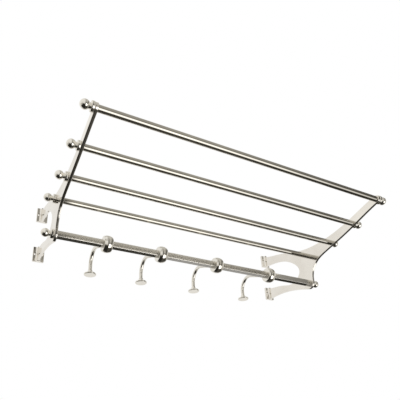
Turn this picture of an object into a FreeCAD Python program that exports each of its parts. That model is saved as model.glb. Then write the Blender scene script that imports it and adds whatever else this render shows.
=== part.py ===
import FreeCAD, Part
import math
import os

# Wall rack for towels or hats, in polished nickel. Two flat brackets carry four round shelf bars
# and one square bar, and four hooks slide along the square bar.
# Millimetres. +Z is up, -Y points away from the wall, and +X runs along the bars to the right of
# someone who faces the rack. The origin is on the wall plane, midway between the brackets and
# midway between the upper and lower feet, which is the centre of the screw holes.

Vector = FreeCAD.Vector

# Driving dimensions.
CLEAR_WIDTH = 550.0          # between the brackets' inner faces
PLATE = 5.0                  # thickness of a bracket plate
SOFT_EDGE = 0.7              # rounding along the plate's outline

FOOT_PITCH = 87.0            # upper foot's centre to lower foot's centre
FOOT_WIDTH = 21.0
FOOT_HEIGHT = 30.0
FOOT_DEPTH = 5.0
FOOT_COVE = 3.5              # cove between the foot and the plate
SCREW_OFFSET = 7.0           # from the plate's middle to a screw hole
SCREW_HOLE_R = 1.75
SINK_R = 2.9
SINK_DEPTH = 1.2

BAR_R = 5.5
SQUARE_BAR = 11.0
SQUARE_EDGE = 0.8            # rounding of the square bar's four edges
STUD_R = 3.0
STUD_PLAY = 0.05
PLATE_HOLE_PLAY = 0.2        # around a stud where it passes through a bracket
STUD_IN_BAR = 15.0
STUD_IN_FINIAL = 11.0

# Where the bars' axes cross a bracket, as (y, z), from the front bar to the one nearest the wall.
SHELF_BARS = [(-347.0, 24.5), (-282.5, 6.0), (-215.5, -4.0), (-136.0, 2.5)]
HOOK_BAR = (-141.0, -69.0)
TIP_R = 7.5                  # round eye at the bracket's front tip
HUB_R = 13.0                 # round eye that holds the square bar

FINIAL_COLLAR_R = 8.2
FINIAL_COLLAR = 5.0
FINIAL_NECK_R = 4.6
FINIAL_BALL_R = 7.4
FINIAL_BALL_AT = 13.0        # from the bracket's outer face to the ball's centre
FINIAL_COVE_STEP = 1.6       # how far the neck's cove opens at the collar
FINIAL_BALL_STEP = 0.4       # and at the ball
TURNED_EDGE = 1.0            # rounding on the finials' collars and the buttons' faces

HOOK_PLACES = [-187.0, -82.5, 38.0, 165.0]
COLLAR_R = 15.5
COLLAR_HALF = 7.75
COLLAR_EDGE = 1.2
COLLAR_PLAY = 0.1            # between the square bar and the collar's square hole, on each side
ARM_R = 3.6
ARM_RISE = 22.0              # degrees that the arm's straight run climbs towards the wall
ARM_BEND_R = 26.0
ARM_REACH = 95.0             # from the square bar's axis to the arm's downward end
ARM_DROP = 9.5               # straight run from the bend down to the button
ARM_SEAT = 0.6               # how deep the arm sits in the collar's surface
TENON_R = 2.4
TENON = 5.0
TENON_PLAY = 0.05
BUTTON_R = 11.6
BUTTON_HEIGHT = 10.0
BUTTON_RIM = 3.6             # height of the disc below the flared neck
BUTTON_LIP = 1.6             # height of the rounded lip on top of the disc
BUTTON_LIP_IN = 2.2          # and how far in it reaches
BUTTON_NECK_STEP = 0.8       # how much wider than the arm the neck starts


def cylinder(radius, length, start, direction):
    return Part.makeCylinder(radius, length, start, direction)


def in_plane(points):
    """Points of the side outline, given as (y, z), on the plane x = 0."""
    return [Vector(0, y, z) for y, z in points]


def spline(points, start=None, end=None):
    """A smooth edge through the points; start and end are its directions there, where they matter."""
    curve = Part.BSplineCurve()
    if start is None:
        curve.interpolate(in_plane(points))
    else:
        curve.interpolate(Points=in_plane(points), InitialTangent=start, FinalTangent=end)
    return curve.toShape()


def line(start, end):
    return Part.LineSegment(*in_plane([start, end])).toShape()


def arc(start, middle, end):
    return Part.Arc(*in_plane([start, middle, end])).toShape()


def on_circle(centre, radius, degrees):
    """A point on a circle in the side view; 0 degrees points at the wall and 90 degrees up."""
    angle = math.radians(degrees)
    return (centre[0] + radius * math.cos(angle), centre[1] + radius * math.sin(angle))


def heading(degrees):
    """The direction of travel around such a circle, from the wall side over the top."""
    angle = math.radians(degrees)
    return Vector(0, -math.sin(angle), math.cos(angle))


def plate_outline():
    """The bracket's side outline, with its mouth towards the wall between the two feet."""
    top = FOOT_PITCH / 2 + FOOT_HEIGHT / 2
    mouth = FOOT_PITCH / 2 - FOOT_HEIGHT / 2
    tip_start, tip_end = 82, 258
    hub_start, hub_end = 180, 290
    tip = [on_circle(SHELF_BARS[0], TIP_R, angle) for angle in (tip_start, 170, tip_end)]
    hub = [on_circle(HOOK_BAR, HUB_R, angle) for angle in (hub_start, 235, hub_end)]
    upper = [(0, top), (-68.0, 36.5), (-132.0, 15.0), (-196.0, 7.5), (-272.0, 15.5), tip[0]]
    front = [tip[2], (-268.0, -4.5), (-203.0, -19.0), (-171.0, -31.0), (-156.0, -52.0), hub[0]]
    lower = [hub[2], (-78.0, -63.5), (0, -top)]
    opening = [(0, -mouth), (-56.0, -42.0), (-100.0, -48.5), (-118.0, -33.0), (-94.0, 2.0), (-50.0, 22.0),
               (0, mouth)]
    edges = [
        spline(upper, Vector(0, -0.9, -0.44), heading(tip_start)),
        arc(*tip),
        spline(front, heading(tip_end), Vector(0, 0, -1)),
        arc(*hub),
        spline(lower, heading(hub_end), Vector(0, 1, -0.1)),
        line((0, -top), (0, -mouth)),
        spline(opening, Vector(0, -1, -0.35), Vector(0, 1, 0)),
        line((0, mouth), (0, top)),
    ]
    return Part.Wire(edges)


def foot(height):
    """A T-shaped wall foot, cast onto the plate, with a cove on both sides of it."""
    half, side, cove = FOOT_WIDTH / 2, PLATE / 2, FOOT_COVE
    lowest = height - FOOT_HEIGHT / 2

    def at(x, y):
        return Vector(x, y, lowest)

    def hollow(sign):
        middle = cove * (1 - math.sqrt(0.5))
        ends = (at(sign * (side + cove), -FOOT_DEPTH), at(sign * side, -FOOT_DEPTH - cove))
        through = at(sign * (side + middle), -FOOT_DEPTH - middle)
        return Part.Arc(ends[0], through, ends[1]).toShape()

    right, left = hollow(1), hollow(-1)
    corners = [at(side + cove, -FOOT_DEPTH), at(half, -FOOT_DEPTH), at(half, 0), at(-half, 0),
               at(-half, -FOOT_DEPTH), at(-side - cove, -FOOT_DEPTH)]
    straight = [Part.LineSegment(a, b).toShape() for a, b in zip(corners, corners[1:])]
    across = Part.LineSegment(at(-side, -FOOT_DEPTH - cove), at(side, -FOOT_DEPTH - cove)).toShape()
    outline = Part.Wire(Part.__sortEdges__(straight + [left, across, right]))
    return Part.Face(outline).extrude(Vector(0, 0, FOOT_HEIGHT))


def screw_hole(x, z):
    """A countersunk hole through a foot, from its front face to the wall."""
    forward = Vector(0, -1, 0)
    shank = cylinder(SCREW_HOLE_R, 3 * FOOT_DEPTH, Vector(x, FOOT_DEPTH, z), forward)
    flare_start = Vector(x, SINK_DEPTH - FOOT_DEPTH, z)
    flare = Part.makeCone(SCREW_HOLE_R, SINK_R, SINK_DEPTH, flare_start, forward)
    recess = cylinder(SINK_R, FOOT_COVE, Vector(x, -FOOT_DEPTH, z), forward)
    return shank.fuse([flare, recess])


def bracket(side):
    """side is -1 for the left bracket and 1 for the right one."""
    plate = Part.Face(plate_outline()).extrude(Vector(PLATE, 0, 0))
    plate.translate(Vector(-PLATE / 2, 0, 0))
    rim = [edge for edge in plate.Edges if is_on_side_face(edge) and edge.BoundBox.YLength > 1.0]
    plate = plate.makeFillet(SOFT_EDGE, rim)
    feet = [foot(sign * FOOT_PITCH / 2) for sign in (-1, 1)]
    body = plate.fuse(feet).removeSplitter()
    hole_r = STUD_R + PLATE_HOLE_PLAY
    holes = [cylinder(hole_r, 2 * PLATE, Vector(-PLATE, y, z), Vector(1, 0, 0))
             for y, z in SHELF_BARS + [HOOK_BAR]]
    holes += [screw_hole(x, z) for x in (-SCREW_OFFSET, SCREW_OFFSET)
              for z in (-FOOT_PITCH / 2, FOOT_PITCH / 2)]
    body = body.cut(holes)
    body.translate(Vector(side * (CLEAR_WIDTH + PLATE) / 2, 0, 0))
    return body


def is_on_side_face(edge):
    return edge.BoundBox.XLength < 1e-6


def stud_bores(bar, y, z):
    """Cuts the threaded bore in each end of a bar."""
    for side in (-1, 1):
        mouth = Vector(side * CLEAR_WIDTH / 2, y, z)
        bar = bar.cut(cylinder(STUD_R + STUD_PLAY, STUD_IN_BAR, mouth, Vector(-side, 0, 0)))
    return bar


def shelf_bar(y, z):
    bar = cylinder(BAR_R, CLEAR_WIDTH, Vector(-CLEAR_WIDTH / 2, y, z), Vector(1, 0, 0))
    return stud_bores(bar, y, z)


def hook_bar():
    y, z = HOOK_BAR
    corner = Vector(-CLEAR_WIDTH / 2, y - SQUARE_BAR / 2, z - SQUARE_BAR / 2)
    bar = Part.makeBox(CLEAR_WIDTH, SQUARE_BAR, SQUARE_BAR, corner)
    long_edges = [edge for edge in bar.Edges if edge.BoundBox.XLength > CLEAR_WIDTH / 2]
    return stud_bores(bar.makeFillet(SQUARE_EDGE, long_edges), y, z)


def stud(side, y, z):
    start = Vector(side * (CLEAR_WIDTH / 2 - STUD_IN_BAR), y, z)
    length = STUD_IN_BAR + PLATE + STUD_IN_FINIAL
    return cylinder(STUD_R, length, start, Vector(side, 0, 0))


def turned(profile):
    """A solid turned about X from a list of edges that starts and ends on the axis."""
    face = Part.Face(Part.Wire(profile))
    return face.revolve(Vector(0, 0, 0), Vector(1, 0, 0), 360)


def at_radius(x, r):
    """A point of a turned profile, x along the axis and r out from it."""
    return Vector(x, 0, r)


def finial(side, y, z):
    """A turned end piece: a flat collar against the bracket, a hollow neck and a ball."""
    edge = TURNED_EDGE
    turn = edge * (1 - math.sqrt(0.5))
    reach = FINIAL_BALL_AT + FINIAL_BALL_R
    ball_start_r = FINIAL_NECK_R + FINIAL_BALL_STEP
    ball_start = FINIAL_BALL_AT - math.sqrt(FINIAL_BALL_R ** 2 - ball_start_r ** 2)
    shoulder = FINIAL_COLLAR - edge
    cove = [at_radius(FINIAL_COLLAR, FINIAL_NECK_R + FINIAL_COVE_STEP),
            at_radius((FINIAL_COLLAR + ball_start) / 2, FINIAL_NECK_R),
            at_radius(ball_start, ball_start_r)]
    back_edge = [at_radius(0, FINIAL_COLLAR_R - edge),
                 at_radius(turn, FINIAL_COLLAR_R - turn),
                 at_radius(edge, FINIAL_COLLAR_R)]
    front_edge = [at_radius(shoulder, FINIAL_COLLAR_R),
                  at_radius(FINIAL_COLLAR - turn, FINIAL_COLLAR_R - turn),
                  at_radius(FINIAL_COLLAR, FINIAL_COLLAR_R - edge)]
    profile = [
        Part.LineSegment(at_radius(0, 0), back_edge[0]),
        Part.Arc(*back_edge),
        Part.LineSegment(back_edge[-1], front_edge[0]),
        Part.Arc(*front_edge),
        Part.LineSegment(front_edge[-1], cove[0]),
        Part.Arc(*cove),
        Part.Arc(cove[-1], at_radius(FINIAL_BALL_AT, FINIAL_BALL_R), at_radius(reach, 0)),
        Part.LineSegment(at_radius(reach, 0), at_radius(0, 0)),
    ]
    solid = turned([piece.toShape() for piece in profile])
    bore = cylinder(STUD_R + STUD_PLAY, STUD_IN_FINIAL, Vector(0, 0, 0), Vector(1, 0, 0))
    solid = solid.cut(bore)
    if side < 0:
        solid = solid.mirror(Vector(0, 0, 0), Vector(1, 0, 0))
    solid.translate(Vector(side * (CLEAR_WIDTH / 2 + PLATE), y, z))
    return solid


def arm_direction():
    angle = math.radians(ARM_RISE)
    return Vector(0, math.cos(angle), math.sin(angle))


def collar(x):
    """A round bead with flat ends and a square hole, which slides on the square bar."""
    end_r = math.sqrt(COLLAR_R ** 2 - COLLAR_HALF ** 2)
    along = Vector(1, 0, 0)
    slice_of_ball = cylinder(2 * COLLAR_R, 2 * COLLAR_HALF, Vector(-COLLAR_HALF, 0, 0), along)
    bead = Part.makeSphere(COLLAR_R).common(slice_of_ball)
    rims = [edge for edge in bead.Edges
            if edge.BoundBox.XLength < 1e-6 and edge.BoundBox.YLength > end_r]
    bead = bead.makeFillet(COLLAR_EDGE, rims)
    hole = SQUARE_BAR + 2 * COLLAR_PLAY
    corner = Vector(-2 * COLLAR_HALF, -hole / 2, -hole / 2)
    square_hole = Part.makeBox(4 * COLLAR_HALF, hole, hole, corner)
    up = arm_direction()
    socket = cylinder(TENON_R + TENON_PLAY, 2 * TENON, up * (COLLAR_R - TENON), up)
    seat = cylinder(ARM_R + TENON_PLAY, TENON, up * (COLLAR_R - ARM_SEAT), up)
    bead = bead.cut([square_hole, socket, seat])
    bead.translate(Vector(x, *HOOK_BAR))
    return bead


def arm_path():
    """Centre line of a hook's arm, from the collar back and up, over the bend and down to the button."""
    rise = math.radians(ARM_RISE)
    centre_y = ARM_REACH - ARM_BEND_R
    bend_start_y = centre_y - ARM_BEND_R * math.sin(rise)
    bend_start = Vector(0, bend_start_y, bend_start_y * math.tan(rise))
    centre_z = bend_start.z - ARM_BEND_R * math.cos(rise)
    half_way = math.radians((90 + ARM_RISE) / 2)
    over = Vector(0, centre_y + ARM_BEND_R * math.cos(half_way),
                  centre_z + ARM_BEND_R * math.sin(half_way))
    bend_end = Vector(0, ARM_REACH, centre_z)
    start = arm_direction() * (COLLAR_R - ARM_SEAT)
    end = bend_end - Vector(0, 0, ARM_DROP)
    return start, bend_start, over, bend_end, end


def arm(x):
    start, bend_start, over, bend_end, end = arm_path()
    path = Part.Wire([Part.LineSegment(start, bend_start).toShape(),
                      Part.Arc(bend_start, over, bend_end).toShape(),
                      Part.LineSegment(bend_end, end).toShape()])
    section = Part.Wire(Part.Circle(start, arm_direction(), ARM_R).toShape())
    rod = path.makePipeShell([section], True, False)
    inner_length = TENON - ARM_SEAT
    inner = cylinder(TENON_R, inner_length, start - arm_direction() * inner_length, arm_direction())
    outer = cylinder(TENON_R, TENON, end, Vector(0, 0, -1))
    rod = rod.fuse([inner, outer]).removeSplitter()
    rod.translate(Vector(x, *HOOK_BAR))
    return rod


def button(x):
    """The flared end of a hook: a trumpet-shaped neck that opens into a flat round disc."""
    edge = TURNED_EDGE
    turn = edge * (1 - math.sqrt(0.5))
    shoulder = BUTTON_HEIGHT - BUTTON_RIM
    neck_r = ARM_R + BUTTON_NECK_STEP
    neck = [at_radius(0, neck_r),
            at_radius(0.72 * shoulder, neck_r + 1.5),
            at_radius(shoulder, BUTTON_R - BUTTON_LIP_IN)]
    lip = [neck[-1],
           at_radius(shoulder + 0.3 * BUTTON_LIP, BUTTON_R - 0.3 * BUTTON_LIP_IN),
           at_radius(shoulder + BUTTON_LIP, BUTTON_R)]
    lower_edge = [at_radius(BUTTON_HEIGHT - edge, BUTTON_R),
                  at_radius(BUTTON_HEIGHT - turn, BUTTON_R - turn),
                  at_radius(BUTTON_HEIGHT, BUTTON_R - edge)]
    profile = [
        Part.LineSegment(at_radius(0, 0), neck[0]),
        Part.Arc(*neck),
        Part.Arc(*lip),
        Part.LineSegment(lip[-1], lower_edge[0]),
        Part.Arc(*lower_edge),
        Part.LineSegment(lower_edge[-1], at_radius(BUTTON_HEIGHT, 0)),
        Part.LineSegment(at_radius(BUTTON_HEIGHT, 0), at_radius(0, 0)),
    ]
    solid = turned([piece.toShape() for piece in profile])
    solid = solid.cut(cylinder(TENON_R + TENON_PLAY, TENON, Vector(0, 0, 0), Vector(1, 0, 0)))
    solid.rotate(Vector(0, 0, 0), Vector(0, 1, 0), 90)
    solid.translate(arm_path()[-1] + Vector(x, *HOOK_BAR))
    return solid


def build():
    nodes = {"left_bracket": bracket(-1), "right_bracket": bracket(1), "hook_bar": hook_bar()}
    bars = {f"shelf_bar_{number}": place for number, place in enumerate(SHELF_BARS, start=1)}
    for name, (y, z) in bars.items():
        nodes[name] = shelf_bar(y, z)
    bars["hook_bar"] = HOOK_BAR
    for name, (y, z) in bars.items():
        for side, word in ((-1, "left"), (1, "right")):
            nodes[f"{name}_{word}_stud"] = stud(side, y, z)
            nodes[f"{name}_{word}_finial"] = finial(side, y, z)
    for number, x in enumerate(HOOK_PLACES, start=1):
        nodes[f"hook_{number}_collar"] = collar(x)
        nodes[f"hook_{number}_arm"] = arm(x)
        nodes[f"hook_{number}_button"] = button(x)
    return nodes


def save(nodes):
    os.makedirs("parts", exist_ok=True)
    for name, shape in nodes.items():
        shape.exportStep(f"parts/{name}.step")
        box = shape.BoundBox
        print(f"{name:28s} solids {len(shape.Solids)} valid {shape.isValid()} volume {shape.Volume:10.1f}"
              f" y {box.YMin:7.1f} {box.YMax:7.1f} z {box.ZMin:7.1f} {box.ZMax:7.1f}")


save(build())
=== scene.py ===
import math

import bmesh
import bpy
import numpy as np
from mathutils import Matrix, Vector
from mathutils.geometry import tessellate_polygon


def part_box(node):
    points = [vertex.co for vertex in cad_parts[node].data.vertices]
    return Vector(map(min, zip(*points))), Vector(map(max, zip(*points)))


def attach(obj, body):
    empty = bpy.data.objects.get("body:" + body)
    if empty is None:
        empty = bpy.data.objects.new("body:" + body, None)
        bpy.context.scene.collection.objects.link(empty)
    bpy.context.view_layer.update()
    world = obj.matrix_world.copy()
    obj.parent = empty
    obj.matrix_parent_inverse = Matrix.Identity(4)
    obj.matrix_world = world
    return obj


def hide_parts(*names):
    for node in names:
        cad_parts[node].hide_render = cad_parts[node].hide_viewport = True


# Wall rack in polished nickel: finished meshes, finishes, floor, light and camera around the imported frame.
# Metres. +Z is up, -Y points away from the wall, and +X runs along the bars.
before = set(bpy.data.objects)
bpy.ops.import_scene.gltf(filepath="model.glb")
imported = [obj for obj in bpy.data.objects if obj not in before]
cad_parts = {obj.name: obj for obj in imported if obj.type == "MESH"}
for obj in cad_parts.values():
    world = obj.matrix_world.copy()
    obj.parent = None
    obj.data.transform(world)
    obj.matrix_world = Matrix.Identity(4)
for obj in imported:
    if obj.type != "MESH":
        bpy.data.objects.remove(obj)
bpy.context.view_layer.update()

MM = 0.001
SEGMENTS = 96                 # steps around a turned piece
SHARP = 40                    # degrees above which an edge is shaded as a crease

SHELF_BARS = [f"shelf_bar_{number}" for number in range(1, 5)]
BARS = SHELF_BARS + ["hook_bar"]
HOOKS = [f"hook_{number}" for number in range(1, 5)]
SIDES = {"left": -1, "right": 1}

# Bracket: a flat plate with rounded edges and two T-shaped feet.
PLATE = 5.0 * MM
PLATE_EDGE = 0.7 * MM
TIP_R = 7.48 * MM
HUB_R = 13.0 * MM
STUD_HOLE_R = 3.2 * MM
FOOT_PITCH = 87.0 * MM
FOOT_HEIGHT = 30.0 * MM
FOOT_WIDTH = 21.0 * MM
FOOT_DEPTH = 5.0 * MM
FOOT_COVE = 3.5 * MM
FOOT_EDGE = 0.6 * MM
LEG_MARGIN = 1.0 * MM         # between a leg's root and the end of its foot
COVE_OVERLAP = 0.03 * MM      # how far a foot's cove reaches into the plate
SCREW_OFFSET = 7.0 * MM
SCREW_HOLE_R = 1.75 * MM
SINK_R = 2.9 * MM
SINK_DEPTH = 1.2 * MM
CUTTER_MARGIN = 1.0 * MM      # how far a screw hole's cutter reaches past the foot

# Bars, finials and hooks.
BORE_R = 3.05 * MM
BORE_DEPTH = 15.0 * MM
BAR_CHAMFER = 0.4 * MM
SQUARE_EDGE = 0.8 * MM
FINIAL_COLLAR = 5.0 * MM
FINIAL_NECK_R = 4.6 * MM
FINIAL_BALL_R = 7.4 * MM
FINIAL_COVE_STEP = 1.6 * MM   # how far the neck opens at the collar
FINIAL_BALL_STEP = 0.4 * MM   # and at the ball
FINIAL_BORE = 11.0 * MM
TURNED_EDGE = 1.0 * MM
COLLAR_HALF = 7.75 * MM
COLLAR_EDGE = 1.2 * MM
COLLAR_PLAY = 0.1 * MM
COLLAR_HOLE_EDGE = 0.6 * MM   # rounding of the square hole's corners
COLLAR_END_RING = 1.0 * MM    # width of the flat ring next to the collar's rim
COLLAR_HOLE_RING = 0.4 * MM   # the same at the ends of the square hole
ARM_R = 3.6 * MM
ARM_RISE = 22.0               # degrees
ARM_BEND_R = 26.0 * MM
ARM_SEGMENTS = 48
ARM_IN_COLLAR = 3.0 * MM
ARM_IN_BUTTON = 2.0 * MM
BUTTON_RIM = 3.6 * MM
BUTTON_LIP = 1.6 * MM
BUTTON_LIP_IN = 2.2 * MM
BUTTON_NECK_STEP = 0.8 * MM
BUTTON_NECK_EDGE = 0.3 * MM


# ------------------------------------------------------------------ finishes

def node_tree(name):
    """A new material with its nodes, links and shader."""
    material = bpy.data.materials.new(name)
    material.use_nodes = True
    nodes, links = material.node_tree.nodes, material.node_tree.links
    return material, nodes, links, nodes["Principled BSDF"]


def noise(nodes, links, scale, stretch=(1, 1, 1), detail=4.0, roughness=0.6):
    """A noise texture in object space; stretch below 1 draws it out along that axis."""
    place = nodes.new("ShaderNodeTexCoord")
    mapping = nodes.new("ShaderNodeMapping")
    mapping.inputs["Scale"].default_value = stretch
    texture = nodes.new("ShaderNodeTexNoise")
    texture.inputs["Scale"].default_value = scale
    texture.inputs["Detail"].default_value = detail
    texture.inputs["Roughness"].default_value = roughness
    links.new(place.outputs["Object"], mapping.inputs["Vector"])
    links.new(mapping.outputs["Vector"], texture.inputs["Vector"])
    return texture.outputs["Fac"]


def ramp(nodes, links, source, low, high, start=0.35, end=0.65):
    """Maps what a texture or another node gives, between start and end, to numbers from low to high."""
    spread = nodes.new("ShaderNodeMapRange")
    spread.inputs["From Min"].default_value = start
    spread.inputs["From Max"].default_value = end
    spread.inputs["To Min"].default_value = low
    spread.inputs["To Max"].default_value = high
    links.new(source, spread.inputs["Value"])
    return spread.outputs["Result"]


def blend(nodes, links, share, first, second):
    """Blends two colours, each given as red, green and blue or as the output of another node."""
    node = nodes.new("ShaderNodeMix")
    node.data_type = "RGBA"
    colours = [socket for socket in node.inputs if socket.type == "RGBA"]
    for socket, value in zip(colours, (first, second)):
        if isinstance(value, tuple):
            socket.default_value = (*value, 1)
        else:
            links.new(value, socket)
    links.new(share, node.inputs["Factor"])
    return next(socket for socket in node.outputs if socket.type == "RGBA")


def bump(nodes, links, shader, layers):
    """Adds bump layers, each a texture with its height in metres, one on top of the other."""
    normal = None
    for source, height in layers:
        step = nodes.new("ShaderNodeBump")
        step.inputs["Strength"].default_value = 1.0
        step.inputs["Distance"].default_value = height
        links.new(source, step.inputs["Height"])
        if normal is not None:
            links.new(normal, step.inputs["Normal"])
        normal = step.outputs["Normal"]
    links.new(normal, shader.inputs["Normal"])


CLOUD_SCALE = 22.0
SMEAR_SCALE = 140.0
LINE_SCALE = 900.0
LINE_HEIGHT = 0.0004 * MM
THREAD_SCALE = 160.0
THREAD_HEIGHT = 0.1 * MM


def nickel(name, dark, light, gloss, wave_size, wave_height, line_stretch):
    """Polished nickel plate: slow waves from hand polishing, fine buffing lines and cloudy gloss."""
    material, nodes, links, shader = node_tree(name)
    shader.inputs["Metallic"].default_value = 1.0
    cloud = ramp(nodes, links, noise(nodes, links, CLOUD_SCALE, detail=5.0), 0, 1)
    links.new(blend(nodes, links, cloud, dark, light), shader.inputs["Base Color"])
    smear = noise(nodes, links, SMEAR_SCALE, line_stretch, detail=6.0, roughness=0.7)
    links.new(ramp(nodes, links, smear, *gloss), shader.inputs["Roughness"])
    waves = noise(nodes, links, 1 / wave_size, detail=1.0, roughness=0.4)
    lines = noise(nodes, links, LINE_SCALE, line_stretch, detail=3.0)
    bump(nodes, links, shader, [(waves, wave_height), (lines, LINE_HEIGHT)])
    return material


def zinc(name):
    """Plain zinc-plated steel with the fine rings of a cut thread, for the hidden studs."""
    material, nodes, links, shader = node_tree(name)
    shader.inputs["Metallic"].default_value = 1.0
    cloud = noise(nodes, links, 300.0)
    colour = blend(nodes, links, cloud, (0.46, 0.47, 0.48), (0.62, 0.63, 0.64))
    links.new(colour, shader.inputs["Base Color"])
    links.new(ramp(nodes, links, cloud, 0.28, 0.42), shader.inputs["Roughness"])
    place = nodes.new("ShaderNodeTexCoord")
    rings = nodes.new("ShaderNodeTexWave")
    rings.bands_direction = "X"
    rings.inputs["Scale"].default_value = THREAD_SCALE
    links.new(place.outputs["Object"], rings.inputs["Vector"])
    bump(nodes, links, shader, [(rings.outputs["Fac"], THREAD_HEIGHT)])
    return material


CAST = nickel("nickel on a cast bracket", dark=(0.80, 0.77, 0.72), light=(0.86, 0.835, 0.79),
              gloss=(0.05, 0.10), wave_size=0.030, wave_height=0.010 * MM, line_stretch=(1.0, 0.25, 1.0))
# Painted shade: the round bars' nickel is about half as bright as the same plate on the other pieces, so the
# bars come out darker.
SHADED_ROUND_NICKEL = nickel("nickel on round bar with painted shade", dark=(0.47, 0.45, 0.41), light=(0.53, 0.51, 0.46),
               gloss=(0.035, 0.08), wave_size=0.045, wave_height=0.006 * MM, line_stretch=(0.06, 1.0, 1.0))
SQUARE = nickel("nickel on square bar", dark=(0.84, 0.815, 0.77), light=(0.90, 0.88, 0.84),
                gloss=(0.08, 0.12), wave_size=0.040, wave_height=0.006 * MM, line_stretch=(0.06, 1.0, 1.0))
TURNED = nickel("nickel on turned ends", dark=(0.80, 0.775, 0.72), light=(0.86, 0.84, 0.79),
                gloss=(0.03, 0.07), wave_size=0.012, wave_height=0.003 * MM, line_stretch=(1.0, 0.2, 0.2))
BENT = nickel("nickel on hooks", dark=(0.79, 0.765, 0.71), light=(0.85, 0.83, 0.78),
              gloss=(0.035, 0.08), wave_size=0.016, wave_height=0.004 * MM, line_stretch=(1.0, 1.0, 1.0))
ZINC = zinc("zinc on studs")


# -------------------------------------------------------------- mesh helpers

def loose_object(name, bm):
    """A mesh object from a bmesh, not yet a piece of the rack."""
    bmesh.ops.recalc_face_normals(bm, faces=bm.faces)
    mesh = bpy.data.meshes.new(name)
    bm.to_mesh(mesh)
    bm.free()
    thing = bpy.data.objects.new(name, mesh)
    bpy.context.scene.collection.objects.link(thing)
    return thing


def finish_piece(piece, body, material, node):
    """Shades a piece, gives it its finish, and lets it stand for its CAD node on that node's body."""
    mesh = piece.data
    mesh.shade_smooth()
    mesh.set_sharp_from_angle(angle=math.radians(SHARP))
    mesh.materials.clear()
    mesh.materials.append(material)
    weighted = piece.modifiers.new("even normals", "WEIGHTED_NORMAL")
    weighted.keep_sharp = True
    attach(piece, body)
    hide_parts(node)
    return piece


def arc(centre, radius, start, end, steps):
    """Points on a circle from one angle to another, in degrees."""
    angles = [math.radians(start + (end - start) * step / steps) for step in range(steps + 1)]
    return [(centre[0] + radius * math.cos(a), centre[1] + radius * math.sin(a)) for a in angles]


def join_rings(bm, rings, closed=False):
    """Quads between rings of vertices; a ring of one vertex is a point."""
    pairs = list(zip(rings, rings[1:]))
    if closed:
        pairs.append((rings[-1], rings[0]))
    for near, far in pairs:
        steps = max(len(near), len(far))
        for here in range(steps):
            there = (here + 1) % steps
            corners = [near[here % len(near)], near[there % len(near)],
                       far[there % len(far)], far[here % len(far)]]
            bm.faces.new(list(dict.fromkeys(corners)))


def turned(profile, origin, axis, segments=SEGMENTS):
    """A solid turned about an axis from (distance along the axis, radius) points."""
    bm = bmesh.new()
    axis = Vector(axis).normalized()
    side = axis.orthogonal().normalized()
    over = axis.cross(side)
    spokes = [side * math.cos(2 * math.pi * step / segments) + over * math.sin(2 * math.pi * step / segments)
              for step in range(segments)]
    rings = []
    for along, radius in profile:
        if radius < 1e-7:
            rings.append([bm.verts.new(origin + axis * along)])
        else:
            rings.append([bm.verts.new(origin + axis * along + spoke * radius) for spoke in spokes])
    join_rings(bm, rings)
    return bm


def fill_with_holes(bm, outer, holes):
    """Fills a flat loop of vertices around smaller loops inside it."""
    loops = [outer] + holes
    triangles = tessellate_polygon([[vertex.co.yz.to_3d() for vertex in loop] for loop in loops])
    vertices = [vertex for loop in loops for vertex in loop]
    for corners in triangles:
        bm.faces.new([vertices[corner] for corner in corners])


def combine(target, other, operation):
    """Joins another closed mesh to the target, or cuts it away, and removes it."""
    cutter = target.modifiers.new(operation, "BOOLEAN")
    cutter.operation = operation
    cutter.solver = "EXACT"
    cutter.object = other
    bpy.context.view_layer.update()
    evaluated = target.evaluated_get(bpy.context.evaluated_depsgraph_get())
    mesh = bpy.data.meshes.new_from_object(evaluated)
    target.modifiers.remove(cutter)
    target.data = mesh
    bpy.data.objects.remove(other)


def centre_of(node):
    """The centre of a CAD node's box."""
    low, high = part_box(node)
    return (low + high) / 2


# ------------------------------------------------------------------- bracket

def clamped_spline(points, start, end, steps=14):
    """A smooth curve through points that leaves along start and arrives along end."""
    points = np.array(points, float)
    gaps = np.linalg.norm(np.diff(points, axis=0), axis=1)
    slopes = np.diff(points, axis=0) / gaps[:, None]
    count = len(points)
    matrix = np.eye(count)
    right = np.zeros((count, 2))
    right[0] = np.array(start, float) / np.linalg.norm(start)
    right[-1] = np.array(end, float) / np.linalg.norm(end)
    for row in range(1, count - 1):
        before, after = gaps[row - 1], gaps[row]
        matrix[row, row - 1:row + 2] = [after, 2 * (before + after), before]
        right[row] = 3 * (after * slopes[row - 1] + before * slopes[row])
    tangents = np.linalg.solve(matrix, right)
    curve = []
    for row, gap in enumerate(gaps):
        a, b = points[row], points[row + 1]
        ta, tb = tangents[row] * gap, tangents[row + 1] * gap
        for step in range(steps):
            t = step / steps
            curve.append(tuple((2 * t**3 - 3 * t**2 + 1) * a + (t**3 - 2 * t**2 + t) * ta
                               + (3 * t**2 - 2 * t**3) * b + (t**3 - t**2) * tb))
    return curve


def heading(degrees):
    """The direction of travel around a circle in the side view, from the wall side over the top."""
    angle = math.radians(degrees)
    return (-math.sin(angle), math.cos(angle))


def millimetres(points):
    """Points given in millimetres, in metres."""
    return [(y * MM, z * MM) for y, z in points]


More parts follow.
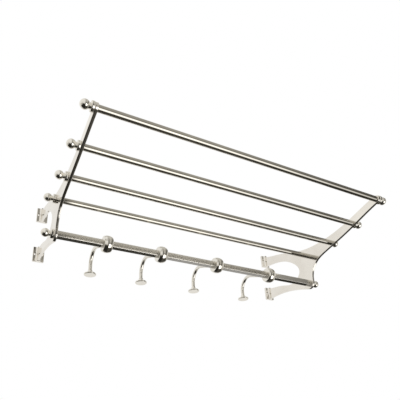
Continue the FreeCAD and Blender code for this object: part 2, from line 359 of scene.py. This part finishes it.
def plate_outline():
    """The plate's side outline as (y, z) points, from the upper foot over the front to the lower foot."""
    top = (FOOT_PITCH + FOOT_HEIGHT) / 2
    mouth = (FOOT_PITCH - FOOT_HEIGHT) / 2
    tip_centre = centre_of("shelf_bar_1").yz
    hub_centre = centre_of("hook_bar").yz
    tip_start, tip_end = 82, 258
    hub_start, hub_end = 180, 290
    tip = arc(tip_centre, TIP_R, tip_start, tip_end, 30)
    hub = arc(hub_centre, HUB_R, hub_start, hub_end, 24)
    upper = [(0, top)] + millimetres([(-68, 36.5), (-132, 15), (-196, 7.5), (-272, 15.5)]) + [tip[0]]
    front = [tip[-1]] + millimetres([(-268, -4.5), (-203, -19), (-171, -31), (-156, -52)]) + [hub[0]]
    lower = [hub[-1]] + millimetres([(-78, -63.5)]) + [(0, -top)]
    opening = millimetres([(-56, -42), (-100, -48.5), (-118, -33), (-94, 2), (-50, 22)])
    opening = [(0, -mouth)] + opening + [(0, mouth)]
    # The legs end inside the feet.
    root = -FOOT_DEPTH / 2
    return ([(root, top - LEG_MARGIN)]
            + clamped_spline(upper, (-0.9, -0.44), heading(tip_start))[1:] + tip[:-1]
            + clamped_spline(front, heading(tip_end), (0, -1)) + hub[:-1]
            + clamped_spline(lower, heading(hub_end), (1, -0.1))
            + [(root, LEG_MARGIN - top), (root, -mouth - LEG_MARGIN)]
            + clamped_spline(opening, (-1, -0.35), (1, 0))[1:] + [(root, mouth + LEG_MARGIN)])


def inset(outline, distance):
    """The outline moved inwards, along the average of the normals on both sides of each point."""
    moved = []
    for here, point in enumerate(outline):
        before, after = Vector(outline[here - 1]), Vector(outline[(here + 1) % len(outline)])
        arriving = (Vector(point) - before).normalized()
        leaving = (after - Vector(point)).normalized()
        along = (arriving + leaving).normalized()
        stretch = 1 / max(along.dot(leaving), 0.5)
        moved.append(Vector(point) + Vector((-along.y, along.x)) * distance * stretch)
    return moved


def rounded_rings(edge, half, steps=5):
    """(inset, x) for the rounded edges of a slab from its one flat side to the other."""
    quarter = [(edge * (1 - math.cos(math.radians(90 * step / steps))),
                half - edge * (1 - math.sin(math.radians(90 * step / steps)))) for step in range(steps + 1)]
    flat = (edge * 1.5, half)
    return [flat] + quarter[::-1], [(away, -x) for away, x in quarter] + [(flat[0], -half)]


def plate(x):
    """The flat plate with rounded edges and a hole for each stud."""
    outline = plate_outline()
    bm = bmesh.new()
    near, far = rounded_rings(PLATE_EDGE, PLATE / 2)
    rings = []
    for away, offset in near + far:
        rings.append([bm.verts.new((x + offset, y, z)) for y, z in inset(outline, away)])
    join_rings(bm, rings)
    holes = {}
    for side in (1, -1):
        face_x = x + side * PLATE / 2
        holes[side] = [[bm.verts.new((face_x, y, z))
                        for y, z in arc(centre_of(bar).yz, STUD_HOLE_R, 0, 360, 32)[:-1]] for bar in BARS]
    fill_with_holes(bm, rings[0], holes[1])
    fill_with_holes(bm, rings[-1], holes[-1])
    for front, back in zip(holes[1], holes[-1]):
        join_rings(bm, [front, back])
    return bm


def foot_section():
    """Half of the T-shaped foot in plan, as (x, y) from the wall to the plate, for the positive side."""
    half, side = FOOT_WIDTH / 2, PLATE / 2
    back = arc((half - FOOT_EDGE, -FOOT_EDGE), FOOT_EDGE, 90, 0, 4)
    front = arc((half - FOOT_EDGE, -FOOT_DEPTH + FOOT_EDGE), FOOT_EDGE, 0, -90, 4)
    cove_centre = (side - COVE_OVERLAP + FOOT_COVE, -FOOT_DEPTH - FOOT_COVE)
    cove = arc(cove_centre, FOOT_COVE, 90, 180, 10)
    return back + front + cove


def foot(x, height):
    """A foot with rounded ends, drawn as slices from bottom to top."""
    bm = bmesh.new()
    half = foot_section()
    outline = half + [(-px, py) for px, py in reversed(half)]
    outline = outline[::-1]
    low, high = height - FOOT_HEIGHT / 2, height + FOOT_HEIGHT / 2
    rings = []
    quarter = [(FOOT_EDGE - away, FOOT_EDGE - up) for up, away in arc((0, 0), FOOT_EDGE, 0, 90, 4)]
    slices = [(away, low + up) for away, up in quarter]
    slices += [(away, high - up) for away, up in reversed(quarter)]
    for away, z in slices:
        rings.append([bm.verts.new((x + px, py, z)) for px, py in inset(outline, away)])
    join_rings(bm, rings)
    bm.faces.new(rings[0])
    bm.faces.new(rings[-1])
    return bm


def screw_cutter(x, z):
    """The shape of a countersunk screw hole, from in front of the foot to behind the wall face."""
    front, back = -FOOT_COVE - 2 * CUTTER_MARGIN, FOOT_DEPTH + CUTTER_MARGIN
    profile = [(front, 0), (front, SINK_R), (0, SINK_R),
               (SINK_DEPTH, SCREW_HOLE_R), (back, SCREW_HOLE_R), (back, 0)]
    return turned(profile, Vector((x, -FOOT_DEPTH, z)), (0, 1, 0), 40)


def bracket(side):
    """One casting: the plate joined to two feet, with two countersunk screw holes through each foot."""
    x = centre_of(f"{side}_bracket").x
    casting = loose_object(f"{side}_bracket_casting", plate(x))
    for height in (-FOOT_PITCH / 2, FOOT_PITCH / 2):
        combine(casting, loose_object("foot", foot(x, height)), "UNION")
        for offset in (-SCREW_OFFSET, SCREW_OFFSET):
            combine(casting, loose_object("hole", screw_cutter(x + offset, height)), "DIFFERENCE")
    return finish_piece(casting, "frame", CAST, f"{side}_bracket")


# ---------------------------------------------------------------------- bars

def bar_end(radius):
    """The bored and chamfered end of a round bar, from the bottom of the bore outwards."""
    return [(BORE_DEPTH, 0), (BORE_DEPTH, BORE_R), (0, BORE_R), (0, radius - BAR_CHAMFER),
            (BAR_CHAMFER, radius), (3 * BAR_CHAMFER, radius)]


def shelf_bar(node):
    """A round bar, with chamfered ends that are bored for the studs."""
    low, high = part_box(node)
    centre, radius, length = (low + high) / 2, (high.z - low.z) / 2, high.x - low.x
    start = bar_end(radius)
    profile = start + [(length - along, away) for along, away in reversed(start)]
    rod = loose_object(f"{node}_rod", turned(profile, Vector((low.x, centre.y, centre.z)), (1, 0, 0)))
    # The round bar's darker nickel is painted shade.
    return finish_piece(rod, "frame", SHADED_ROUND_NICKEL, node)


def square_section(half, edge, steps=5):
    """A square with rounded corners, as (y, z) about its own centre."""
    corners = [(1, 1, 0), (-1, 1, 90), (-1, -1, 180), (1, -1, 270)]
    points = []
    for y, z, start in corners:
        points += arc((y * (half - edge), z * (half - edge)), edge, start, start + 90, steps)
    return points


def hook_bar(node):
    """The square bar, with chamfered ends that are bored for the studs."""
    low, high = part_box(node)
    centre, half = (low + high) / 2, (high.z - low.z) / 2
    section = square_section(half, SQUARE_EDGE)
    bore = [(BORE_R * math.cos(math.atan2(z, y)), BORE_R * math.sin(math.atan2(z, y))) for y, z in section]
    bm = bmesh.new()

    def ring(x, shape, scale=1.0):
        return [bm.verts.new((x, centre.y + y * scale, centre.z + z * scale)) for y, z in shape]

    chamfered = 1 - BAR_CHAMFER / half
    starts = [(BORE_DEPTH, bore, 0.02), (BORE_DEPTH, bore, 1.0), (0, bore, 1.0),
              (0, section, chamfered), (BAR_CHAMFER, section, 1.0), (3 * BAR_CHAMFER, section, 1.0)]
    rings = [ring(low.x + along, shape, scale) for along, shape, scale in starts]
    rings += [ring(high.x - along, shape, scale) for along, shape, scale in reversed(starts)]
    join_rings(bm, rings)
    bm.faces.new(rings[0])
    bm.faces.new(rings[-1])
    return finish_piece(loose_object(f"{node}_rod", bm), "frame", SQUARE, node)


# ------------------------------------------------------------------- finials

def finial_profile(collar_r, reach):
    """From the stud's bore over the collar, the neck and the ball to the tip."""
    edge = TURNED_EDGE
    ball_at = reach - FINIAL_BALL_R
    ball_start_r = FINIAL_NECK_R + FINIAL_BALL_STEP
    ball_start = ball_at - math.sqrt(FINIAL_BALL_R**2 - ball_start_r**2)
    start_angle = math.degrees(math.atan2(ball_start_r, ball_start - ball_at))
    middle = (FINIAL_COLLAR + ball_start) / 2
    profile = [(FINIAL_BORE, 0), (FINIAL_BORE, BORE_R), (0, BORE_R)]
    profile += arc((edge, collar_r - edge), edge, 180, 90, 6)
    profile += arc((FINIAL_COLLAR - edge, collar_r - edge), edge, 90, 0, 6)
    half = middle - FINIAL_COLLAR
    for step in range(13):
        t = -1 + step / 6
        rise = FINIAL_COVE_STEP if t < 0 else FINIAL_BALL_STEP
        profile.append((middle + half * t, FINIAL_NECK_R + rise * t * t))
    profile += arc((ball_at, 0), FINIAL_BALL_R, start_angle, 0, 40)[1:-1]
    return profile + [(reach, 0)]


def finial(node, side):
    """A turned end that screws onto a stud: a collar, a short neck and a ball."""
    low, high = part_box(node)
    centre = (low + high) / 2
    base = high.x if side < 0 else low.x
    collar_r = min(high.y - low.y, high.z - low.z) / 2
    profile = finial_profile(collar_r, high.x - low.x)
    piece = loose_object(f"{node}_turning", turned(profile, Vector((base, centre.y, centre.z)), (side, 0, 0)))
    return finish_piece(piece, "frame", TURNED, node)


# --------------------------------------------------------------------- hooks

def on_square(half, edge, direction):
    """How far a rounded square reaches from its centre in a direction, an angle in radians."""
    y, z = abs(math.cos(direction)), abs(math.sin(direction))
    reach = half / max(y, z)
    corner = half - edge
    if min(y, z) * reach <= corner:
        return reach
    along = corner * (y + z)
    return along + math.sqrt(along**2 - 2 * corner**2 + edge**2)


def hook_collar(name):
    """A ball with flat ends and rounded rims, with a square hole for the bar."""
    node = f"{name}_collar"
    centre = centre_of(node)
    low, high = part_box(node)
    radius = (high.z - low.z) / 2
    bar_low, bar_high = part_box("hook_bar")
    hole = (bar_high.z - bar_low.z) / 2 + COLLAR_PLAY
    inner = radius - COLLAR_EDGE
    rim_r = math.sqrt(inner**2 - (COLLAR_HALF - COLLAR_EDGE) ** 2)
    rim_angle = math.degrees(math.atan2(COLLAR_HALF - COLLAR_EDGE, rim_r))
    rim = arc((rim_r, COLLAR_HALF - COLLAR_EDGE), COLLAR_EDGE, 90, rim_angle, 6)
    belly = arc((0, 0), radius, rim_angle, -rim_angle, 32)[1:-1]
    outside = rim + belly + [(r, -x) for r, x in reversed(rim)]
    bm = bmesh.new()
    rings = []

    def ring(x, reach):
        angles = [2 * math.pi * step / SEGMENTS for step in range(SEGMENTS)]
        return [bm.verts.new((centre.x + x, centre.y + reach(a) * math.cos(a),
                              centre.z + reach(a) * math.sin(a))) for a in angles]

    end_r, hole_end = rim_r - COLLAR_END_RING, COLLAR_HALF - COLLAR_HOLE_RING
    for r, x in [(end_r, COLLAR_HALF)] + outside + [(end_r, -COLLAR_HALF)]:
        rings.append(ring(x, lambda a, r=r: r))
    for x in (-COLLAR_HALF, -hole_end, hole_end, COLLAR_HALF):
        rings.append(ring(x, lambda a: on_square(hole, COLLAR_HOLE_EDGE, a)))
    join_rings(bm, rings, closed=True)
    return finish_piece(loose_object(f"{node}_bead", bm), name, BENT, node)


def hook_path(name):
    """The arm's centre line, as (point, direction) pairs, from inside the collar to inside the button."""
    start = centre_of(f"{name}_collar")
    end = centre_of(f"{name}_button")
    rise = math.radians(ARM_RISE)
    bend_y = end.y - ARM_BEND_R
    straight = bend_y - ARM_BEND_R * math.sin(rise) - start.y
    bend_z = start.z + straight * math.tan(rise) - ARM_BEND_R * math.cos(rise)
    path = []
    collar_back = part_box(f"{name}_collar")[1].y - start.y
    begin = (collar_back - ARM_IN_COLLAR) / (straight / math.cos(rise))
    for step in range(7):
        share = begin + (1 - begin) * step / 6
        point = Vector((start.x, start.y + straight * share, start.z + straight * math.tan(rise) * share))
        path.append((point, Vector((0, math.cos(rise), math.sin(rise)))))
    steps = 40
    for step in range(1, steps + 1):
        angle = math.radians(90 + ARM_RISE) * (1 - step / steps)
        outward = Vector((0, math.cos(angle), math.sin(angle)))
        point = Vector((start.x, bend_y, bend_z)) + ARM_BEND_R * outward
        path.append((point, Vector((0, outward.z, -outward.y))))
    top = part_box(f"{name}_button")[1].z
    for step in range(1, 5):
        z = bend_z + (top - ARM_IN_BUTTON - bend_z) * step / 4
        path.append((Vector((start.x, end.y, z)), Vector((0, 0, -1))))
    return path


def hook_arm(name):
    """The bent round rod between a hook's collar and its button."""
    node = f"{name}_arm"
    bm = bmesh.new()
    rings = []
    sideways = Vector((1, 0, 0))
    for point, direction in hook_path(name):
        over = direction.cross(sideways)
        rings.append([bm.verts.new(point + ARM_R * (sideways * math.cos(a) + over * math.sin(a)))
                      for a in (2 * math.pi * step / ARM_SEGMENTS for step in range(ARM_SEGMENTS))])
    join_rings(bm, rings)
    bm.faces.new(rings[0])
    bm.faces.new(rings[-1])
    return finish_piece(loose_object(f"{node}_rod", bm), name, BENT, node)


def hook_button(name):
    """The trumpet-shaped neck and flat disc at a hook's end."""
    node = f"{name}_button"
    low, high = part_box(node)
    centre = (low + high) / 2
    radius, height, edge = (high.x - low.x) / 2, high.z - low.z, TURNED_EDGE
    shoulder = height - BUTTON_RIM
    neck_r = ARM_R + BUTTON_NECK_STEP
    profile = [(0, 0), (0, neck_r - BUTTON_NECK_EDGE), (BUTTON_NECK_EDGE, neck_r)]
    for step in range(1, 15):
        t = step / 14
        profile.append((shoulder * t, neck_r + (radius - BUTTON_LIP_IN - neck_r) * t**3))
    for step in range(1, 9):
        t = math.radians(90 * step / 8)
        profile.append((shoulder + BUTTON_LIP * (1 - math.cos(t)),
                        radius - BUTTON_LIP_IN + BUTTON_LIP_IN * math.sin(t)))
    profile += arc((height - edge, radius - edge), edge, 90, 0, 6)
    profile += [(height, radius - 1.4 * edge), (height, 0)]
    piece = loose_object(f"{node}_disc", turned(profile, Vector((centre.x, centre.y, high.z)), (0, 0, -1)))
    return finish_piece(piece, name, BENT, node)


# ------------------------------------------------------- floor, light, camera

FLOOR_Z = -1.0
FLOOR_HALF = 6.0
SOFT_WHITE = (1.0, 0.985, 0.95)
WARM_DARK = (1.0, 0.94, 0.80)
# White boards on the wall, as (lowest left corner, highest right corner, level).
BOARDS = {"wall board": ((-0.45, 0.004, -0.13), (0.45, 0.004, 0.25), 0.85),
          "low board": ((-0.02, 0.004, -0.20), (0.28, 0.004, -0.13), 0.30)}
# How bright the studio looks in each direction around the bars, as (degrees, level): 0 is the wall, 90 up,
# 180 the front and 270 down. There is one list for each part of the bars' length that the light comes from.
RIGHT_LEVELS = [(0, 0.7), (45, 0.85), (92, 0.6), (125, 0.58), (165, 0.56), (188, 0.30), (198, 0.6),
                (206, 2.5), (241, 2.5), (253, 0.10), (275, 0.08), (310, 0.07), (333, 0.04), (350, 0.4),
                (360, 0.7)]
FAR_RIGHT_LEVELS = [(0, 0.3), (45, 0.32), (92, 0.15), (125, 0.10), (165, 0.08), (188, 0.05), (199, 0.2),
                    (207, 0.95), (240, 0.95), (253, 0.05), (275, 0.04), (310, 0.04), (333, 0.02),
                    (350, 0.15), (360, 0.3)]
NEAR_LEFT_LEVELS = [(0, 0.75), (45, 0.85), (92, 0.6), (140, 0.4), (168, 0.06), (300, 0.02), (335, 0.05),
                    (352, 0.5), (360, 0.75)]
LEFT_LEVELS = [(0, 0.9), (45, 0.95), (92, 0.9), (125, 0.9), (165, 0.88), (188, 0.85), (205, 0.75),
               (222, 0.1), (233, 0.03), (270, 0.02), (300, 0.02), (325, 0.1), (340, 0.8), (360, 0.9)]
END_LEVELS = [(0, 0.75), (60, 0.95), (120, 0.9), (180, 0.7), (225, 0.55), (270, 0.5), (315, 0.55),
              (360, 0.75)]
CAMERA_PLACE = Vector((-0.4107, -0.8113, -0.4414))
CAMERA_YAW = 28.65            # degrees to the right of straight at the wall
CAMERA_PITCH = 24.46          # degrees above level
CAMERA_ROLL = -2.57
CAMERA_LENS = 40.66           # millimetres, on a 36 mm sensor
CAMERA_SHIFT = (0.05, 0.1759)


def floor():
    """A plain pale floor, well below the rack."""
    bm = bmesh.new()
    bmesh.ops.create_grid(bm, x_segments=8, y_segments=8, size=FLOOR_HALF)
    ground = loose_object("floor", bm)
    ground.location = (0, 0, FLOOR_Z)
    ground.visible_glossy = False
    material, nodes, links, shader = node_tree("pale floor")
    grain = noise(nodes, links, 6.0)
    colour = blend(nodes, links, grain, (0.78, 0.78, 0.77), (0.82, 0.82, 0.81))
    links.new(colour, shader.inputs["Base Color"])
    shader.inputs["Roughness"].default_value = 0.9
    ground.data.materials.append(material)


def reflector(name, low, high, level):
    """A white board parallel to the wall that only shows in the nickel."""
    bm = bmesh.new()
    corners = [(low[0], low[2]), (high[0], low[2]), (high[0], high[2]), (low[0], high[2])]
    bm.faces.new([bm.verts.new((x, low[1], z)) for x, z in corners])
    board = loose_object(name, bm)
    material, nodes, links, shader = node_tree(name)
    shader.inputs["Base Color"].default_value = (0, 0, 0, 1)
    shader.inputs["Emission Color"].default_value = (*SOFT_WHITE, 1)
    shader.inputs["Emission Strength"].default_value = level
    board.data.materials.append(material)
    board.visible_camera = False
    board.visible_diffuse = False
    board.visible_shadow = False


def around_the_bars(nodes, links, angle, levels):
    """A colour ramp around the bars' axis from (degrees, level); the darker it is, the warmer."""
    ramp_node = nodes.new("ShaderNodeValToRGB")
    ramp_node.color_ramp.interpolation = "EASE"
    stops = ramp_node.color_ramp.elements
    while len(stops) < len(levels):
        stops.new(0.5)
    for stop, (degrees, level) in zip(stops, levels):
        stop.position = degrees / 360
        light = min(level, 1.0)
        tint = [dark + (white - dark) * light for dark, white in zip(WARM_DARK, SOFT_WHITE)]
        stop.color = (*(level * part for part in tint), 1)
    links.new(angle, ramp_node.inputs["Fac"])
    return ramp_node.outputs["Color"]


def studio():
    """A white studio. In the nickel it shows as pale walls, a dark floor and a strip of light in front."""
    world = bpy.data.worlds.new("studio")
    bpy.context.scene.world = world
    world.use_nodes = True
    nodes, links = world.node_tree.nodes, world.node_tree.links
    background = nodes["Background"]

    def math_node(operation, *values):
        node = nodes.new("ShaderNodeMath")
        node.operation = operation
        for socket, value in zip(node.inputs, values):
            if isinstance(value, float):
                socket.default_value = value
            else:
                links.new(value, socket)
        return node.outputs["Value"]

    place = nodes.new("ShaderNodeTexCoord")
    parts = nodes.new("ShaderNodeSeparateXYZ")
    links.new(place.outputs["Generated"], parts.inputs["Vector"])
    across = parts.outputs["X"]
    turn = math_node("ARCTAN2", parts.outputs["Z"], parts.outputs["Y"])
    angle = math_node("FRACT", math_node("DIVIDE", turn, 2 * math.pi))
    either_way = math_node("ABSOLUTE", across)
    sides = around_the_bars(nodes, links, angle, RIGHT_LEVELS)
    # Each list takes over from the ones before it between two sideways directions.
    for levels, sideways, start, end in (
            (NEAR_LEFT_LEVELS, across, 0.195, 0.18), (LEFT_LEVELS, across, 0.08, -0.15),
            (FAR_RIGHT_LEVELS, across, 0.45, 0.75), (END_LEVELS, either_way, 0.78, 0.90)):
        share = ramp(nodes, links, sideways, 0, 1, start, end)
        sides = blend(nodes, links, share, sides, around_the_bars(nodes, links, angle, levels))
    path = nodes.new("ShaderNodeLightPath")
    colour = blend(nodes, links, path.outputs["Is Glossy Ray"], (1, 1, 1), sides)
    links.new(colour, background.inputs["Color"])
    background.inputs["Strength"].default_value = 1.0


def camera():
    """The camera stands in front, to the left and below, and looks up at the rack."""
    yaw, pitch, roll = (math.radians(angle) for angle in (CAMERA_YAW, CAMERA_PITCH, CAMERA_ROLL))
    forward = Vector((math.sin(yaw) * math.cos(pitch), math.cos(yaw) * math.cos(pitch), math.sin(pitch)))
    level = Vector((math.cos(yaw), -math.sin(yaw), 0))
    upward = level.cross(forward)
    right = math.cos(roll) * level + math.sin(roll) * upward
    top = -math.sin(roll) * level + math.cos(roll) * upward
    data = bpy.data.cameras.new("camera")
    data.lens = CAMERA_LENS
    data.shift_x, data.shift_y = CAMERA_SHIFT
    data.clip_start, data.clip_end = 0.01, 50
    viewer = bpy.data.objects.new("camera", data)
    bpy.context.scene.collection.objects.link(viewer)
    turned_to = Matrix((right, top, -forward)).transposed().to_4x4()
    viewer.matrix_world = Matrix.Translation(CAMERA_PLACE) @ turned_to
    bpy.context.scene.camera = viewer


for side in SIDES:
    bracket(side)
for bar in SHELF_BARS:
    shelf_bar(bar)
hook_bar("hook_bar")
for bar in BARS:
    for side, sign in SIDES.items():
        finial(f"{bar}_{side}_finial", sign)
        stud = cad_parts[f"{bar}_{side}_stud"]
        stud.data.materials.clear()
        stud.data.materials.append(ZINC)
for hook in HOOKS:
    hook_collar(hook)
    hook_arm(hook)
    hook_button(hook)
floor()
for name, (low, high, level) in BOARDS.items():
    reflector(name, low, high, level)
studio()
camera()
bpy.context.scene.view_settings.view_transform = "Standard"
